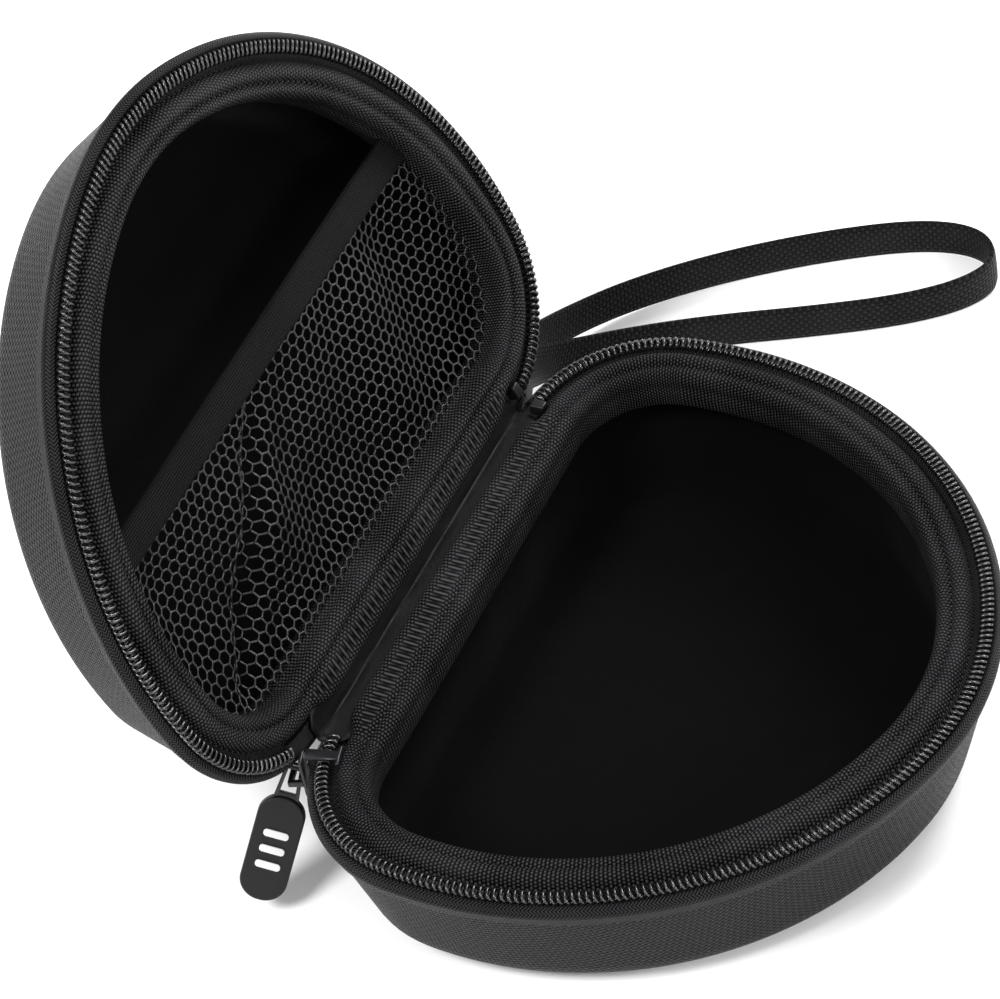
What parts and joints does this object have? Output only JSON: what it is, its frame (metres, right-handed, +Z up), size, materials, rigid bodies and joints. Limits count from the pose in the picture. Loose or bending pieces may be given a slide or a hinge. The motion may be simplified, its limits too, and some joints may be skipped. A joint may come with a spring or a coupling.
{
  "type": "headphone carrying case",
  "caption": "Hinged two-shell zip case with a curved nose, lined cavities, a net pocket in the lid, a puller on the slider and a wrist strap.",
  "frame": {"origin": "on the floor, under the middle of the base's flat bottom", "axes": "+X from the hinge to the nose of the case, +Y along the hinge to the strap, +Z up"},
  "size_m": [0.2107, 0.26, 0.1635],
  "materials": {
    "nylon": "black basket-weave nylon, slightly shiny",
    "foam": "moulded foam, hidden between cover and lining",
    "velvet": "short black velvet",
    "knit_trim": "black padded ribbed knit",
    "coil": "black nylon coil",
    "zip_tape": "black herringbone zipper tape",
    "stop": "fused black end stop",
    "leatherette": "black grained leatherette",
    "net": "dark grey knitted net",
    "elastic": "black ribbed elastic",
    "slider_metal": "dark grey painted zinc",
    "tab_rubber": "black moulded rubber",
    "tab_mark": "raised white bars",
    "webbing": "black ribbed webbing"
  },
  "bodies": {
    "base": {"base_cover": "nylon", "base_core": "foam", "base_lining": "velvet", "base_trim": "knit_trim", "base_zip_coil": "coil", "base_zip_tape": "zip_tape", "base_zip_stop": "stop", "hinge_strip_inner": "leatherette", "hinge_strip_outer": "nylon", "strap_anchor": "webbing", "strap_webbing": "webbing"},
    "lid": {"lid_cover": "nylon", "lid_core": "foam", "lid_lining": "velvet", "lid_trim": "knit_trim", "lid_zip_coil": "coil", "lid_zip_tape": "zip_tape", "lid_zip_stop": "stop", "mesh_pocket": "net", "pocket_band": "elastic"},
    "slider": {"slider_body": "slider_metal", "slider_bridge": "slider_metal"},
    "puller": {"puller_link": "slider_metal", "pull_tab": "tab_rubber", "pull_tab_grip_bars": "tab_mark"}
  },
  "joints": [
    {"name": "lid_hinge", "type": "hinge", "parent": "base", "child": "lid", "pos_m": [-0.066, 0, 0.041], "axis": [0, -1, 0], "range_deg": [-112.5, 8], "deforming": ["hinge_strip_inner", "hinge_strip_outer"]},
    {"name": "slider_travel", "type": "hinge", "parent": "base", "child": "slider", "pos_m": [-0.033, -0.05259, 0.041], "axis": [0, 0, 1], "range_deg": [0, 60]},
    {"name": "puller_swing", "type": "hinge", "parent": "slider", "child": "puller", "pos_m": [-0.07142, -0.06217, 0.034], "axis": [-0.2419, 0.9703, 0], "range_deg": [-8, 45]}
  ]
}
